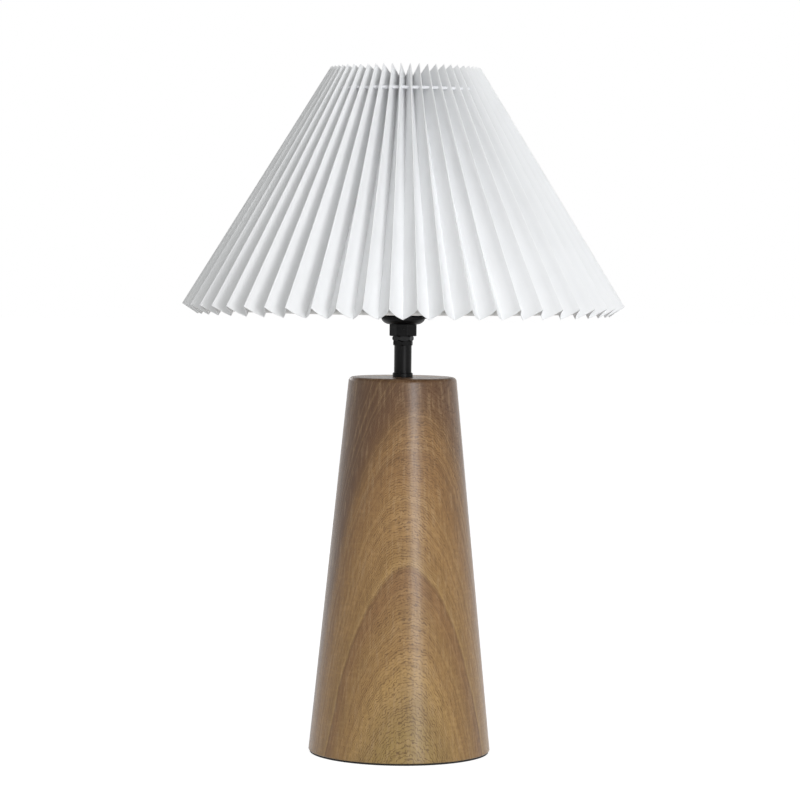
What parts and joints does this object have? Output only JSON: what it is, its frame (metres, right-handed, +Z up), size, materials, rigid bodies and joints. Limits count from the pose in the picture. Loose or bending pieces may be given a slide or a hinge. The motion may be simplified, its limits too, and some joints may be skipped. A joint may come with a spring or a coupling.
{
  "type": "pleated paper table lamp",
  "caption": "Table lamp with a turned wooden cone base, a short black stem and a wide pleated paper shade over a lined wire frame, with a screw-in globe bulb.",
  "frame": {"origin": "on the table under the middle of the base, on the lamp's axis", "axes": "+Z up along the lamp's axis, +Y to the back, where the cord enters, -Y the front"},
  "size_m": [0.3298, 0.3292, 0.511],
  "materials": {
    "wood": "satin lacquer",
    "pad": "matte",
    "black_metal": "satin black paint",
    "black_plastic": "satin moulded",
    "zinc_steel": "zinc plated",
    "brass": "plain",
    "ceramic": "unglazed steatite",
    "white_wire": "white paint",
    "liner": "matte film",
    "paper": "matte",
    "gather_cord": "twisted thread",
    "bulb_black": "gloss",
    "bulb_metal": "nickel plated",
    "bulb_white": "satin",
    "opal": "opal diffuser"
  },
  "bodies": {
    "base": {"base_pad": "pad", "base_body": "wood", "cord_bushing": "black_plastic", "threaded_rod": "zinc_steel", "rod_washer": "zinc_steel", "rod_spring_washer": "zinc_steel", "rod_nut": "zinc_steel", "stem_collar": "black_metal", "stem_tube": "black_metal", "stem_nut": "black_metal", "lock_nut": "black_metal", "holder_cap": "black_plastic", "cap_set_screw": "black_metal", "holder_shell": "black_plastic", "contact_carrier": "ceramic", "terminal_screws": "zinc_steel", "centre_contact": "brass", "side_contact": "brass"},
    "shade": {"fitter_ring": "white_wire", "spokes": "white_wire", "bottom_ring": "white_wire", "top_ring": "white_wire", "shade_liner": "liner", "shade_pleats": "paper", "gathering_cord": "gather_cord"},
    "shade_ring": {"shade_ring": "black_plastic"},
    "bulb_tip": {"bulb_centre_contact": "bulb_metal"},
    "bulb": {"bulb_insulator": "bulb_black", "bulb_screw_cap": "bulb_metal", "bulb_housing": "bulb_white", "bulb_globe": "opal"}
  },
  "joints": [
    {"name": "shade_turn", "type": "hinge", "parent": "base", "child": "shade", "pos_m": [0, 0, 0.3248], "axis": [0, 0, 1], "continuous": true},
    {"name": "shade_ring_lift", "type": "slide", "parent": "base", "child": "shade_ring", "axis": [0, 0, 1], "range_m": [0, 0.0136]},
    {"name": "bulb_lift", "type": "slide", "parent": "base", "child": "bulb_tip", "axis": [0, 0, 1], "range_m": [0, 0.00706]},
    {"name": "bulb_turn", "type": "hinge", "parent": "bulb_tip", "child": "bulb", "pos_m": [0, 0, 0.35], "axis": [0, 0, 1], "range_deg": [0, 900]}
  ],
  "couplings": [
    {"joint": "bulb_lift", "follows": "bulb_turn", "m_per_rad": 0.00044914}
  ]
}
